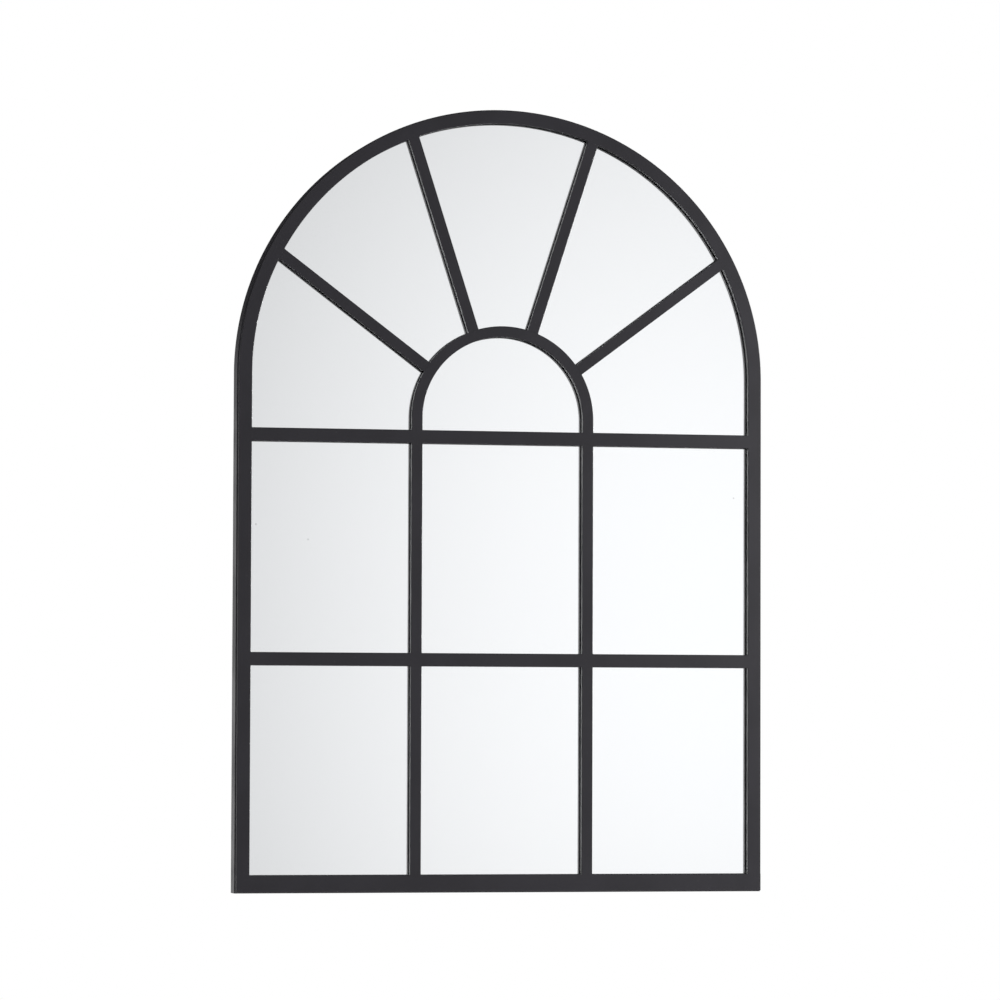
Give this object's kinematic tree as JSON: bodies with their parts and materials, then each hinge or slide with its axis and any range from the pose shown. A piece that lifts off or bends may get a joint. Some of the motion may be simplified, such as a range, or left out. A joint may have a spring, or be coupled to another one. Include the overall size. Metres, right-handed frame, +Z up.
{
  "type": "arched window mirror",
  "caption": "Arched window-style wall mirror with a black welded steel grille and two rear hangers.",
  "frame": {"origin": "middle of the underside at the rear edge, on the wall plane", "axes": "+Z up, -Y towards the room, +X to the right when seen from the front"},
  "size_m": [0.61, 0.03, 0.8899],
  "materials": {
    "black_powder_coat": "satin",
    "mirror_glass": "polished",
    "mounting_tape": "matte",
    "packing_foam": "matte",
    "fibreboard": "matte",
    "zinc_plate": "satin"
  },
  "bodies": {
    "mirror": {"side_band_left": "black_powder_coat", "side_band_right": "black_powder_coat", "bottom_band": "black_powder_coat", "arch_band": "black_powder_coat", "face_bottom": "black_powder_coat", "face_left": "black_powder_coat", "face_right": "black_powder_coat", "face_arch": "black_powder_coat", "lower_cross_bar": "black_powder_coat", "upper_cross_bar": "black_powder_coat", "upright_low_left": "black_powder_coat", "upright_low_right": "black_powder_coat", "upright_high_left": "black_powder_coat", "upright_high_right": "black_powder_coat", "hoop": "black_powder_coat", "spoke_1": "black_powder_coat", "spoke_2": "black_powder_coat", "spoke_3": "black_powder_coat", "spoke_4": "black_powder_coat", "glass_tape": "mounting_tape", "mirror_glass": "mirror_glass", "foam_sheet": "packing_foam", "backing_board": "fibreboard", "board_tabs": "black_powder_coat", "tab_screws": "zinc_plate", "hanger_screws": "zinc_plate", "hanger_plate_left": "zinc_plate", "hanger_plate_right": "zinc_plate"},
    "ring_left": {"hanger_ring_left": "zinc_plate"},
    "ring_right": {"hanger_ring_right": "zinc_plate"}
  },
  "joints": [
    {"name": "ring_left_hinge", "type": "hinge", "parent": "mirror", "child": "ring_left", "pos_m": [-0.23, -0.00925, 0.6], "axis": [1, 0, 0], "range_deg": [0, 180]},
    {"name": "ring_right_hinge", "type": "hinge", "parent": "mirror", "child": "ring_right", "pos_m": [0.23, -0.00925, 0.6], "axis": [1, 0, 0], "range_deg": [0, 180]}
  ]
}
